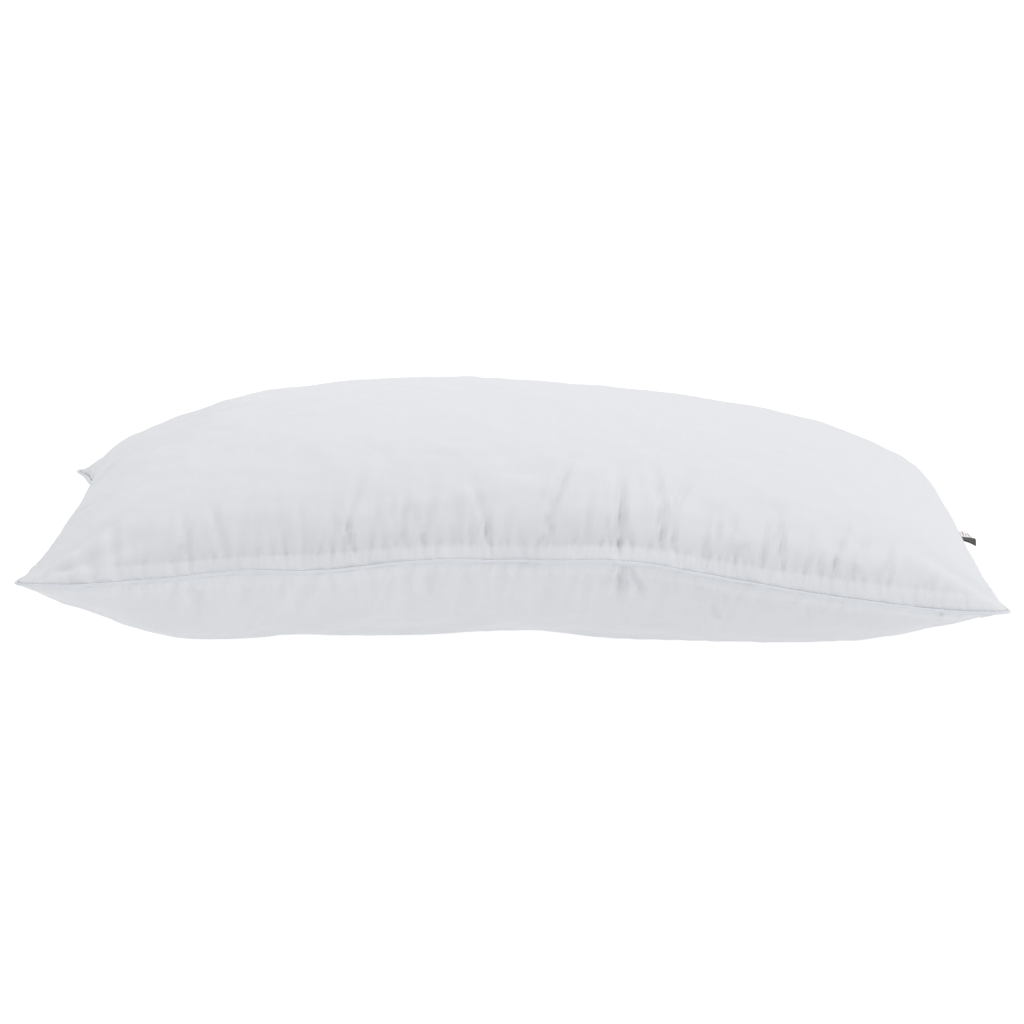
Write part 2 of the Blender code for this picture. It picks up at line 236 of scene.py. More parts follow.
def stuff_casing(shapes):
    """Blows up the sewn casing from its cut size, lets it settle on a floor, and returns the panels' points."""
    scene = bpy.context.scene
    top, bottom = casing_numbers()
    count = int(bottom.max()) + 1
    u, v = cloth_grid()
    flat = np.zeros((count, 3))
    start = np.zeros((count, 3))
    for numbers, shape, side in ((bottom, shapes[-1], -1), (top, shapes[1], 1)):
        start[numbers] = shape + np.array([0, 0, 2 * SIM_FLOOR_GAP])
        flat[numbers] = np.stack([u * CUT_LENGTH / 2, v * CUT_WIDTH / 2, np.full_like(u, CUT_LIES_AT)], axis=-1)
    flat[bottom[1:-1, 1:-1], 2] -= CLOTH_THICKNESS

    faces = np.concatenate([grid_faces(top, 1), grid_faces(bottom, -1)])
    mesh = bpy.data.meshes.new("casing_being_stuffed")
    mesh.from_pydata(start.tolist(), [], faces.tolist())
    cloth_object = bpy.data.objects.new("casing_being_stuffed", mesh)
    scene.collection.objects.link(cloth_object)
    cloth_object.shape_key_add(name="Basis")
    cut = cloth_object.shape_key_add(name="cut")
    cut.data.foreach_set("co", flat.astype(np.float32).ravel())
    cut.value = 0

    ground_mesh = bpy.data.meshes.new("sim_ground")
    ground_mesh.from_pydata([(-2, -2, 0), (2, -2, 0), (2, 2, 0), (-2, 2, 0)], [], [(0, 1, 2, 3)])
    ground = bpy.data.objects.new("sim_ground", ground_mesh)
    scene.collection.objects.link(ground)
    ground.modifiers.new("collision", "COLLISION")
    ground.collision.thickness_outer = SIM_FLOOR_GAP
    ground.collision.cloth_friction = 20

    modifier = cloth_object.modifiers.new("cloth", "CLOTH")
    cloth = modifier.settings
    cloth.quality = 6
    cloth.mass = CLOTH_VERTEX_MASS
    cloth.tension_stiffness = cloth.compression_stiffness = 20
    cloth.shear_stiffness = 8
    cloth.bending_stiffness = 0.5
    cloth.tension_damping = cloth.compression_damping = cloth.shear_damping = 10
    cloth.bending_damping = 2
    cloth.air_damping = 10
    cloth.use_pressure = True
    cloth.use_pressure_volume = True
    cloth.target_volume = SIM_FILL_VOLUME
    cloth.pressure_factor = SIM_PRESSURE
    cloth.effector_weights.gravity = SIM_WEIGHT / (count * CLOTH_VERTEX_MASS * GRAVITY)
    cloth.rest_shape_key = cut
    modifier.collision_settings.distance_min = SIM_FLOOR_GAP
    modifier.collision_settings.use_self_collision = False
    modifier.point_cache.frame_start = 1
    modifier.point_cache.frame_end = SIM_FRAMES
    scene.frame_start, scene.frame_end = 1, SIM_FRAMES
    for number in range(1, SIM_FRAMES + 1):
        scene.frame_set(number)

    settled = cloth_object.evaluated_get(bpy.context.evaluated_depsgraph_get()).to_mesh()
    points = np.zeros(count * 3, np.float32)
    settled.vertices.foreach_get("co", points)
    points = points.reshape(-1, 3).astype(float)
    points[:, 2] -= 2 * SIM_FLOOR_GAP
    bpy.data.objects.remove(cloth_object)
    bpy.data.objects.remove(ground)
    scene.frame_set(1)
    return {1: points[top], -1: points[bottom]}


def smoothed(field, passes):
    """The field averaged with its neighbours again and again, with its border held."""
    field = field.copy()
    for _ in range(passes):
        inner = field[1:-1]
        inner[:] = (field[:-2] + 2 * inner + field[2:]) / 4
        if field.ndim > 1 and field.shape[1] > 3:
            across = field[:, 1:-1]
            across[:] = (field[:, :-2] + 2 * across + field[:, 2:]) / 4
    return field


def evened(share, points):
    """The shares moved along each line of the grid so that the points on it stand evenly apart."""
    steps = np.linalg.norm(np.diff(points, axis=0), axis=-1)
    travelled = np.concatenate([np.zeros_like(steps[:1]), np.cumsum(steps, axis=0)])
    moved = share.copy()
    for k in range(share.shape[1]):
        even = np.linspace(0, travelled[-1, k], len(share))
        moved[:, k] = np.interp(even, travelled[:, k], share[:, k])
    return moved


def laid_evenly(side):
    """The cloth grid's points laid evenly over the stuffed shape, as cloth that stretches little lies."""
    u, v = cloth_grid()
    for _ in range(6):
        u = evened(u, stuffed(u, v, side))
        v = evened(v.T, stuffed(u, v, side).transpose(1, 0, 2)).T
    return stuffed(u, v, side)


def fit_to_panels(panels, shapes):
    """Moves the settled cloth, gently and all over, on to the CAD panels' shape.

    Only what varies slowly is corrected, so the folds that the simulation made stay.
    """
    s = np.linspace(0, 1, SIM_ROWS + 1)[:, None]
    t = np.linspace(0, 1, SIM_COLUMNS + 1)[None, :]
    inset = np.minimum(np.minimum(s, 1 - s) * CUT_LENGTH, np.minimum(t, 1 - t) * CUT_WIDTH)
    fitted = {}
    for side, points in panels.items():
        miss = shapes[side] - points
        gentle = miss.copy()
        for border in (gentle[0], gentle[-1], gentle[:, 0], gentle[:, -1]):
            border[:] = (1 - SEAM_WAVES_SMOOTHED) * border + SEAM_WAVES_SMOOTHED * smoothed(border, 120)
        kept = FOLDS_KEPT * ease(8 * MM, 50 * MM, inset)[..., None]
        border_part = gentle - miss
        border_part[1:-1, 1:-1] = 0
        fitted[side] = points + miss * (1 - kept) + smoothed(gentle, 24) * kept + border_part
    return fitted


def settled_panels():
    shapes = {side: laid_evenly(side) for side in (1, -1)}
    return fit_to_panels(stuff_casing(shapes), shapes)


PANELS = {side: edged(points) for side, points in settled_panels().items()}


# ---------------------------------------------------------------- folds, gathers and puckers
AROUND = 2 * (CUT_LENGTH + CUT_WIDTH)


def from_seam(x, y):
    """How far a place on the cut cloth is from the nearest edge, and the place along the seam next to it."""
    to_end = CUT_LENGTH / 2 - np.abs(x)
    to_side = CUT_WIDTH / 2 - np.abs(y)
    front = x + CUT_LENGTH / 2
    right = CUT_LENGTH + y + CUT_WIDTH / 2
    back = CUT_LENGTH + CUT_WIDTH + CUT_LENGTH / 2 - x
    left = 2 * CUT_LENGTH + CUT_WIDTH + CUT_WIDTH / 2 - y
    along = np.where(to_side <= to_end, np.where(y < 0, front, back), np.where(x > 0, right, left))
    return np.minimum(to_end, to_side), along


def crease(q):
    """A valley with a low ridge on either side of it, q valley widths from its middle."""
    return (1 - 0.8 * q * q) * np.exp(-q * q / 2)


# Folds pressed into each panel: start x, y and end x, y on the cut cloth, half width and depth, in millimetres.
TOP_FOLDS = [
    (74, -245, 68, -166, 2.7, 4.0),
    (103, -234, 90, -146, 3.0, 2.4),
    (107, -216, 119, -158, 2.8, 2.2),
    (20, -228, 34, -156, 3.0, 2.8),
    (46, -240, 50, -180, 3.0, 1.2),
    (-16, -246, -36, -184, 2.8, 1.7),
    (-66, -238, -60, -190, 3.2, 1.2),
    (-123, -234, -110, -170, 3.0, 1.8),
    (148, -240, 152, -186, 3.0, 1.3),
    (186, -242, 184, -196, 2.8, 1.1),
    (228, -240, 222, -192, 3.0, 1.2),
    (-342, -238, -255, -176, 6.0, 2.0),
    (-330, -244, -240, -214, 5.0, 1.5),
    (340, -238, 262, -188, 6.0, 1.8),
    (338, 238, 268, 188, 6.0, 1.8),
    (-340, 238, -262, 190, 6.5, 2.0),
    (-200, 244, -186, 170, 6.0, 1.6),
    (60, 244, 52, 176, 6.0, 1.8),
    (226, 242, 214, 180, 5.0, 1.4),
    (342, 60, 280, 52, 5.5, 1.5),
    (-342, -40, -286, -30, 5.5, 1.6),
]
BOTTOM_FOLDS = [
    (79, -249, 75, -220, 3.0, 3.2),
    (83, -249, 94, -222, 2.6, 2.6),
    (-60, -246, -64, -216, 5.0, 1.5),
    (-230, -244, -222, -212, 5.0, 1.5),
    (216, -244, 206, -214, 5.0, 1.4),
    (340, -236, 280, -200, 6.0, 1.8),
    (-340, -238, -278, -196, 6.0, 1.8),
    (-340, 238, -276, 196, 6.0, 1.8),
    (338, 238, 276, 196, 6.0, 1.8),
    (-90, 246, -84, 210, 5.0, 1.5),
    (140, 246, 146, 212, 5.0, 1.5),
]


# Soft swells and hollows of the filling: middle x, y, reach along and across, and rise, in millimetres.
TOP_SWELLS = [
    (-215, 50, 60, 110, 4.0),
    (292, 40, 34, 90, 3.0),
    (-60, -60, 90, 70, -1.5),
]
BOTTOM_SWELLS = [
    (-10, -168, 75, 45, -4.5),
    (185, -168, 90, 45, 4.0),
    (-235, -165, 55, 45, 4.0),
    (-150, -168, 22, 40, -1.5),
]


def folds(x, y, table):
    """Depth of the named folds under each place, each one fading in and out along its line."""
    total = np.zeros_like(x)
    for x0, y0, x1, y1, half_width, depth in np.array(table) * MM:
        start, run = np.array([x0, y0]), np.array([x1 - x0, y1 - y0])
        length = math.hypot(*run)
        along = ((x - start[0]) * run[0] + (y - start[1]) * run[1]) / length / length
        sideways = ((x - start[0]) * run[1] - (y - start[1]) * run[0]) / length
        widening = half_width * (0.7 + 0.9 * np.clip(along, 0, 1.2))
        fading = ease(-0.12, 0.16, along) * (1 - ease(0.45, 1.15, along))
        total -= depth * fading * crease(sideways / widening)
    return total


def gathers(inset, along, seed, spacing, reach, half_width, depth):
    """Short pleats that run in from the seam, placed at random along it."""
    chance = np.random.default_rng(seed)
    count = int(AROUND / spacing)
    total = np.zeros_like(inset)
    for place in (np.arange(count) + chance.uniform(-0.45, 0.45, count)) * AROUND / count:
        length = reach * chance.uniform(0.5, 1.6)
        wide = half_width * chance.uniform(0.65, 1.4)
        deep = depth * chance.uniform(0.25, 1.25)
        lean = chance.normal(0, 0.22)
        near = np.abs((along - place + AROUND / 2) % AROUND - AROUND / 2) < 6 * wide + reach
        if not near.any():
            continue
        sideways = (along[near] - place + AROUND / 2) % AROUND - AROUND / 2 - lean * inset[near]
        spread = wide * (0.75 + 0.8 * inset[near] / length)
        fading = ease(0.4 * MM, 3 * MM, inset[near]) * (1 - ease(0.3, 1.15, inset[near] / length))
        total[near] -= deep * fading * crease(sideways / spread)
    return total


def seam_place(s, inset):
    """Places on the cut cloth, inset from its edge, from how far along the seam they are."""
    s = s % AROUND
    x, y = CUT_LENGTH / 2, CUT_WIDTH / 2
    turns = np.array([0, CUT_LENGTH, CUT_LENGTH + CUT_WIDTH, 2 * CUT_LENGTH + CUT_WIDTH, AROUND])
    px = np.interp(s, turns, [-x, x, x, -x, -x])
    py = np.interp(s, turns, [-y, -y, y, y, -y])
    return np.clip(px, -x + inset, x - inset), np.clip(py, -y + inset, y - inset)


def smooth_point(x, y, side):
    a = (x / CUT_LENGTH + 0.5) * SIM_ROWS
    b = (y / CUT_WIDTH + 0.5) * SIM_COLUMNS
    return spline_sheet(PANELS[side], a, b)


def ways_out():
    """Unit directions straight out of the casing at even places round its seam."""
    s = np.arange(LIP_PLACES) * AROUND / LIP_PLACES
    inner = seam_place(s, 22 * MM)
    out = smooth_point(*seam_place(s, 0), 1) - (smooth_point(*inner, 1) + smooth_point(*inner, -1)) / 2
    for _ in range(60):
        out = (np.roll(out, 1, axis=0) + 2 * out + np.roll(out, -1, axis=0)) / 4
    return out / np.linalg.norm(out, axis=1, keepdims=True)


WAYS_OUT = ways_out()


def lip(x, y, side):
    """How the seam's lip shifts a place on the cloth: straight out, less and less away from the seam."""
    inset, along = from_seam(x, y)
    place = along / AROUND * LIP_PLACES
    low = np.floor(place).astype(int)
    part = (place - low)[..., None]
    way = WAYS_OUT[low % LIP_PLACES] * (1 - part) + WAYS_OUT[(low + 1) % LIP_PLACES] * part
    to_end = CUT_LENGTH / 2 - np.abs(x)
    to_side = CUT_WIDTH / 2 - np.abs(y)
    corner = 1 - ease(0, CORNER_LIP_LENGTH, np.maximum(to_end, to_side))
    corner_reach = np.where((x < 0) & (y > 0), EAR_REACH, CORNER_LIP_REACH)
    end_reach = np.where(x < 0, LEFT_END_LIP_REACH, RIGHT_END_LIP_REACH)
    reach = np.where(to_side < to_end, LIP_REACH, end_reach)
    reach = reach + (corner_reach - reach) * corner
    width = LIP_WIDTH_ABOVE if side > 0 else LIP_WIDTH_BELOW
    share = np.clip(1 - inset / width, 0, 1) ** 1.08
    return way * (reach * share * (1 + 0.07 * wander(along, AROUND, 45 * MM, seed=15)))[..., None]


def relief(x, y, side):
    """How far the cloth stands out from its smooth shape, in metres."""
    inset, along = from_seam(x, y)
    to_end = CUT_LENGTH / 2 - np.abs(x)
    to_side = CUT_WIDTH / 2 - np.abs(y)
    clear_of_mitre = ease(1 * MM, 14 * MM, np.abs(to_end - to_side))
    allowance = ease(0.2 * MM, 1.6 * MM, inset) * (1 - ease(7 * MM, 10.5 * MM, inset))
    uneven = 1 + 0.25 * wander(along, AROUND, 26 * MM, seed=3)
    height = 0.6 * MM * allowance * uneven

    thickness = np.clip(0.8 + 0.35 * wander(along, AROUND, 30 * MM, seed=5 + side), 0.15, 1.6)
    phase = math.tau * along / (4.6 * MM) + 2.2 * wander(along, AROUND, 14 * MM, seed=9)
    ruffle = np.sin(phase) * ease(0.5 * MM, 3 * MM, inset) * (1 - ease(4 * MM, 12 * MM, inset))
    height += 0.24 * MM * thickness * ruffle * clear_of_mitre

    pleats = gathers(inset, along, 21, spacing=13 * MM, reach=17 * MM, half_width=2.1 * MM, depth=0.75 * MM)
    seed = 33 + side
    pleats += gathers(inset, along, seed, spacing=38 * MM, reach=46 * MM, half_width=4.5 * MM, depth=1.1 * MM)
    front = ease(20 * MM, 200 * MM, along) * (1 - ease(650 * MM, 690 * MM, along))
    seed = 71 + side
    fine = gathers(inset, along, seed, spacing=8 * MM, reach=44 * MM, half_width=1.8 * MM, depth=1.7 * MM)
    fine = fine * ease(3 * MM, 14 * MM, inset)
    front_right = ease(400 * MM, 470 * MM, along) * (1 - ease(600 * MM, 660 * MM, along))
    pleats += fine * (0.25 + 0.75 * front + 0.5 * front_right) * (1 if side > 0 else 0.35)
    # Pleats that cross each other go no deeper than this.
    deepest = 0.9 * MM + 1.3 * MM * ease(9 * MM, 22 * MM, inset)
    height += deepest * np.tanh(pleats * clear_of_mitre / deepest)
    height += folds(x, y, TOP_FOLDS if side > 0 else BOTTOM_FOLDS) * ease(0, 2.5 * MM, inset)

    swells = np.array(TOP_SWELLS if side > 0 else BOTTOM_SWELLS) * MM
    for x0, y0, along_reach, across_reach, rise in swells:
        height += rise * np.exp(-(((x - x0) / along_reach) ** 2) - ((y - y0) / across_reach) ** 2)
    soft = ease(6 * MM, 45 * MM, inset)
    broad = 1.5 * MM * lumps(x, y, 85 * MM, seed=40 + side)
    height += soft * (broad + 0.55 * MM * lumps(x, y, 34 * MM, seed=50 + side))
    return height


def cloth_normal(x, y, side):
    h = 1 * MM
    along = smooth_point(x + h, y, side) - smooth_point(x - h, y, side)
    across = smooth_point(x, y + h, side) - smooth_point(x, y - h, side)
    normal = np.cross(along, across) * side
    return normal / np.linalg.norm(normal, axis=-1, keepdims=True)


def round_corners(x, y):
    """Draws the square corner of the cut in to an arc, as a turned corner is."""
    r = CORNER_RADIUS
    a = np.clip((np.abs(x) - CUT_LENGTH / 2 + r) / r, 0, 1)
    b = np.clip((np.abs(y) - CUT_WIDTH / 2 + r) / r, 0, 1)
    both = (a > 0) & (b > 0)
    new_x = np.sign(x) * (CUT_LENGTH / 2 - r + r * a * np.sqrt(1 - b * b / 2))
    new_y = np.sign(y) * (CUT_WIDTH / 2 - r + r * b * np.sqrt(1 - a * a / 2))
    return np.where(both, new_x, x), np.where(both, new_y, y)


def cloth_point(x, y, side):
    """A place on the finished casing from its place on the cut cloth."""
    turned_x, turned_y = round_corners(x, y)
    raised = relief(x, y, side)[..., None] * cloth_normal(turned_x, turned_y, side)
    out = smooth_point(turned_x, turned_y, side) + raised + lip(x, y, side)
    out[..., 2] = np.maximum(out[..., 2], 0.0)
    return out


# ---------------------------------------------------------------- the casing's mesh
INNER_ROWS = round((CUT_LENGTH - 2 * RIM_DEPTH) / CELL_ALONG)
INNER_COLUMNS = round((CUT_WIDTH - 2 * RIM_DEPTH) / CELL_ACROSS)


def rectangle(inset, long_steps, short_steps):
    """Even places along a rectangle inset from the cut's edge, anticlockwise from the front left."""
    x, y = CUT_LENGTH / 2 - inset, CUT_WIDTH / 2 - inset
    corners = [(-x, -y), (x, -y), (x, y), (-x, y)]
    steps = [long_steps, short_steps, long_steps, short_steps]
    places = []
    for (x0, y0), (x1, y1), count in zip(corners, corners[1:] + corners[:1], steps):
        share = np.arange(count) / count
        places.append(np.stack([x0 + (x1 - x0) * share, y0 + (y1 - y0) * share], axis=-1))
    return np.concatenate(places)


def rim(inset):
    return rectangle(inset, INNER_ROWS * RIM_STEPS_PER_CELL, INNER_COLUMNS * RIM_STEPS_PER_CELL)


def panel_mesh(side):
    """(places on the cut cloth, faces) of one panel: its inner cells, then its rim out to the seam line."""
    x = np.linspace(-1, 1, INNER_ROWS + 1) * (CUT_LENGTH / 2 - RIM_DEPTH)
    y = np.linspace(-1, 1, INNER_COLUMNS + 1) * (CUT_WIDTH / 2 - RIM_DEPTH)
    grid_x, grid_y = np.meshgrid(x, y, indexing="ij")
    inner = np.stack([grid_x, grid_y], axis=-1).reshape(-1, 2)
    number = np.arange(len(inner)).reshape(INNER_ROWS + 1, INNER_COLUMNS + 1)

    rings = [rim(depth * MM) for depth in RIM_DEPTHS]
    places = np.concatenate([*rings, inner])
    around = len(rings[0])
    number = number + around * len(rings)

    # The innermost ring's points at the cells' corners are the grid's own border points.
    border = np.concatenate([number[:-1, 0], number[-1, :-1], number[:0:-1, -1], number[0, :0:-1]])
    innermost = around * (len(rings) - 1) + np.arange(around)
    innermost[::RIM_STEPS_PER_CELL] = border
    ring_numbers = [around * k + np.arange(around) for k in range(len(rings) - 1)] + [innermost]

    faces = []
    for outer, inside in zip(ring_numbers, ring_numbers[1:]):
        quads = np.stack([outer, np.roll(outer, -1), np.roll(inside, -1), inside], axis=-1)
        faces += quads.tolist()

    between = {}
    for k in range(0, around, RIM_STEPS_PER_CELL):
        a, b = innermost[k], innermost[(k + RIM_STEPS_PER_CELL) % around]
        between[int(a), int(b)] = [int(n) for n in innermost[k + 1 : k + RIM_STEPS_PER_CELL]]
    for quad in grid_faces(number, 1).tolist():
        face = []
        for a, b in zip(quad, quad[1:] + quad[:1]):
            face += [a, *between.get((a, b), [])]
        faces.append(face)
    if side < 0:
        faces = [face[::-1] for face in faces]
    return places, faces


def mesh_object(name, points, faces, surface, smooth=True):
    mesh = bpy.data.meshes.new(name)
    mesh.from_pydata(np.asarray(points).tolist(), [], faces)
    mesh.materials.append(surface)
    if smooth:
        mesh.shade_smooth()
    made = bpy.data.objects.new(name, mesh)
    bpy.context.scene.collection.objects.link(made)
    return made


def casing(surface):
    """Both panels as one closed form, joined along the seam line."""
    points, cut, faces, start = [], [], [], 0
    for side in (1, -1):
        places, panel_faces = panel_mesh(side)
        points.append(cloth_point(places[:, 0], places[:, 1], side))
        cut.append(places + np.array([0, 0 if side > 0 else CUT_WIDTH + 20 * MM]))
        faces += [[n + start for n in face] for face in panel_faces]
        start += len(places)
    points, cut = np.concatenate(points), np.concatenate(cut)
    around = len(rim(0))
    half = start // 2
    # The lower panel's outermost ring takes the upper one's points.
    welded = np.arange(len(points))
    welded[half : half + around] = np.arange(around)
    used, renumbered = np.unique(np.concatenate([welded[face] for face in faces]), return_inverse=True)
    sizes = [len(face) for face in faces]
    ends = np.cumsum(sizes)
    new_faces = [renumbered[end - size : end].tolist() for end, size in zip(ends, sizes)]
    made = mesh_object("casing", points[used], new_faces, surface)
    corner_places = np.concatenate([cut[face] for face in faces])
    layer = made.data.uv_layers.new(name="cut")
    layer.data.foreach_set("uv", corner_places.astype(np.float32).ravel())
    return made


# ---------------------------------------------------------------- piping and stitches
def seam_frames(places):
    """The seam line at places on its rectangle: points, outward, upward and along directions."""
    x, y = places[:, 0], places[:, 1]
    points = (cloth_point(x, y, 1) + cloth_point(x, y, -1)) / 2
    along = np.roll(points, -1, axis=0) - np.roll(points, 1, axis=0)
    along /= np.linalg.norm(along, axis=1, keepdims=True)
    _, s = from_seam(x, y)
    outward = WAYS_OUT[np.round(s / AROUND * LIP_PLACES).astype(int) % LIP_PLACES]
    outward = outward - along * (outward * along).sum(1, keepdims=True)
    outward /= np.linalg.norm(outward, axis=1, keepdims=True)
    upward = np.cross(outward, along)
    return points, outward, upward, along


def piping(surface):
    """A tape folded round a cord: a bead just outside the seam line, with its neck running into it."""
    places = rim(0)
    points, outward, upward, _ = seam_frames(places)
    s = np.arange(len(places)) / len(places) * AROUND
    swell = 1 + 0.035 * np.sin(math.tau * s / (5.5 * MM) + 2 * wander(s, AROUND, 20 * MM, seed=61))
    swell *= 1 + 0.04 * wander(s, AROUND, 12 * MM, seed=62)
    corner = np.abs((s - CUT_LENGTH + AROUND / 2) % AROUND - AROUND / 2)
    swell *= 1 + 0.3 * np.exp(-((corner / (5 * MM)) ** 2))
    centre = points + outward * PIPING_SET_OUT
    rings = []
    for k in range(PIPING_FACETS):
        turn = math.tau * k / PIPING_FACETS
        neck = max(0.0, -math.cos(turn)) ** 3
        radius = PIPING_RADIUS * swell * (1 + 0.5 * neck)
        sideways, rise = radius * math.cos(turn), radius * math.sin(turn)
        rings.append(centre + sideways[:, None] * outward + rise[:, None] * upward)
    count = len(places)
    numbers = [np.arange(count) + count * k for k in range(PIPING_FACETS)]
    faces = []
    for near, far in zip(numbers, numbers[1:] + numbers[:1]):
        faces += np.stack([near, np.roll(near, -1), np.roll(far, -1), far], axis=-1)[:, ::-1].tolist()
    made = mesh_object("piping", np.concatenate(rings), faces, surface)
    corner_u = np.stack([s, np.roll(s, -1), np.roll(s, -1), s], axis=-1)
    corner_u[-1, 1:3] = AROUND
    layer = made.data.uv_layers.new(name="cut")
    uvs = []
    girth = math.tau * PIPING_RADIUS / PIPING_FACETS
    for k in range(PIPING_FACETS):
        v = np.array([k, k, k + 1, k + 1]) * girth
        uvs.append(np.stack([corner_u, np.broadcast_to(v, corner_u.shape)], axis=-1)[:, ::-1])
    layer.data.foreach_set("uv", np.concatenate(uvs).astype(np.float32).ravel())
    return made


def thread_loops(name, ends, lift, surface):
    """Stitches as short arched threads: ends holds (start, finish, outward direction) arrays."""
    start, finish, out = ends
    sections, facets = 5, 5
    run = finish - start
    run_unit = run / np.linalg.norm(run, axis=1, keepdims=True)
    side = np.cross(run_unit, out)
    points = []
    for k in range(sections):
        share = k / (sections - 1)
        arch = lift * (math.sin(math.pi * share) - 0.35)
        radius = THREAD_RADIUS * (0.55 + 0.45 * math.sin(math.pi * share))
        middle = start + run * share + out * arch
        for m in range(facets):
            turn = math.tau * m / facets
            points.append(middle + side * (radius * math.cos(turn)) + out * (radius * math.sin(turn)))
    points = np.stack(points, axis=1)
    pattern = []
    for k in range(sections - 1):
        for m in range(facets):
            a, b = k * facets + m, k * facets + (m + 1) % facets
            pattern.append([a, a + facets, b + facets, b])
    caps = [list(range(facets)), list(range(sections * facets))[-facets:][::-1]]
    faces = []
    for n in range(len(start)):
        base = n * sections * facets
        faces += [[base + p for p in face] for face in pattern + caps]
    return mesh_object(name, points.reshape(-1, 3), faces, surface)


def seam_stitches(name, side, surface):
    starts = np.arange(0, AROUND, STITCH_PITCH)
    ends = []
    for s in (starts, starts + STITCH_LENGTH):
        x, y = seam_place(s, STITCH_INSET)
        ends.append(cloth_point(x, y, side))
        normal = cloth_normal(*round_corners(x, y), side)
    return thread_loops(name, (*ends, normal), 0.22 * MM, surface)


def closing_stitches(surface):
    """Hand slip stitches along the middle of the back seam, leaning across from the panel to the piping."""
    middle = CUT_LENGTH + CUT_WIDTH + CUT_LENGTH / 2
    starts = np.arange(middle - CLOSING_LENGTH / 2, middle + CLOSING_LENGTH / 2, CLOSING_PITCH)
    x, y = seam_place(starts, 2.6 * MM)
    first = cloth_point(x, y, 1)
    normal = cloth_normal(x, y, 1)
    x, y = seam_place(starts + 2.0 * MM, 0.2 * MM)
    second = cloth_point(x, y, 1) + np.array([0, 0.5 * MM, 1.2 * MM])
    return thread_loops("closing_stitches", (first, second, normal), 0.3 * MM, surface)


# ---------------------------------------------------------------- labels
def label(name, low_y, high_y, route, flat_length, surface):
    """A strip of tape along a route of (outwards, upwards) places, caught in the seam of the right-hand end.

    route(share, across) gives the place for a share of the strip's length and a share of its width, -1 to 1.
    """
    length_steps, width_steps = 40, 14
    across = np.linspace(-1, 1, width_steps + 1)
    y_cut = np.interp(across, [-1, 1], [low_y, high_y])
    places = np.stack([np.full_like(y_cut, CUT_LENGTH / 2), y_cut], axis=-1)
    points, outward, upward, _ = seam_frames(places)
    outward, upward = outward[width_steps // 2], upward[width_steps // 2]
    share = np.linspace(0, 1, length_steps + 1)
    out, up = route(share[:, None], across[None, :])
    middle = points[None] + out[..., None] * outward + up[..., None] * upward
    along = np.gradient(middle, axis=0)
    wide = np.gradient(middle, axis=1)
    normal = np.cross(wide, along)
    normal /= np.linalg.norm(normal, axis=-1, keepdims=True)
    count = middle[..., 0].size
    number = np.arange(count).reshape(middle.shape[:2])
    rise = normal * LABEL_THICKNESS / 2
    sheet_points = np.concatenate([(middle + rise).reshape(-1, 3), (middle - rise).reshape(-1, 3)])
    front = grid_faces(number, -1).tolist()
    back = grid_faces(number + count, 1).tolist()
    loop = np.concatenate([number[:-1, 0], number[-1, :-1], number[:0:-1, -1], number[0, :0:-1]])
    following = np.roll(loop, -1)
    rim_faces = np.stack([following, following + count, loop + count, loop], axis=-1).tolist()
    made = mesh_object(name, sheet_points, front + back + rim_faces, surface)
    width = abs(high_y - low_y)
    uv_across = np.broadcast_to((across + 1) / 2 * width, number.shape)
    uv_along = np.broadcast_to(share[:, None] * flat_length, number.shape)
    uv = np.concatenate([np.stack([uv_across, uv_along], axis=-1).reshape(-1, 2)] * 2)
    layer = made.data.uv_layers.new(name="cut")
    corners = [vertex for polygon in made.data.polygons for vertex in polygon.vertices]
    layer.data.foreach_set("uv", uv[corners].astype(np.float32).ravel())
    edges = made.modifiers.new("soft_edges", "BEVEL")
    edges.width = 0.06 * MM
    edges.segments = 1
    edges.limit_method = "ANGLE"
    edges.angle_limit = math.radians(60)
    return made


# ---------------------------------------------------------------- materials
def linear(hex_colour):
    """sRGB hex to the linear colour that Blender's sockets take."""
    values = [int(hex_colour[i : i + 2], 16) / 255 for i in (1, 3, 5)]
    return (*[v / 12.92 if v <= 0.04045 else ((v + 0.055) / 1.055) ** 2.4 for v in values], 1)


def add(tree, kind, settings=None, **links):
    """Adds a node and returns its outputs.

    Settings are its properties, its inputs' values, or "tones", the places and colours of a ramp. Links go to inputs
    by name, or by number as i0 or i1.
    """
    made = tree.nodes.new(kind)
    for name, value in (settings or {}).items():
        if name == "tones":
            for stop, (place, hex_colour) in zip(made.color_ramp.elements, value):
                stop.position, stop.color = place, linear(hex_colour)
        elif hasattr(made, str(name)):
            setattr(made, name, value)
        else:
            made.inputs[name].default_value = value
    for name, source in links.items():
        key = int(name[1:]) if name[0] == "i" and name[1:].isdigit() else name.replace("_", " ")
        tree.links.new(made.inputs[key], source)
    return made.outputs


def new_material(name, shader_values):
    made = bpy.data.materials.new(name)
    made.use_nodes = True
    shader = made.node_tree.nodes["Principled BSDF"]
    for socket, value in shader_values.items():
        shader.inputs[socket].default_value = value
    return made, made.node_tree, shader


def woven(tree, cut, thread_pitch):
    """The height of a plain weave."""
    place = add(tree, "ShaderNodeSeparateXYZ", i0=cut)
    turns = math.tau / (2 * thread_pitch)
    waves = []
    for axis in (0, 1):
        angle = add(tree, "ShaderNodeMath", {"operation": "MULTIPLY", 1: turns}, i0=place[axis])[0]
        waves.append(add(tree, "ShaderNodeMath", {"operation": "SINE"}, i0=angle)[0])
    return add(tree, "ShaderNodeMath", {"operation": "MULTIPLY"}, i0=waves[0], i1=waves[1])[0]


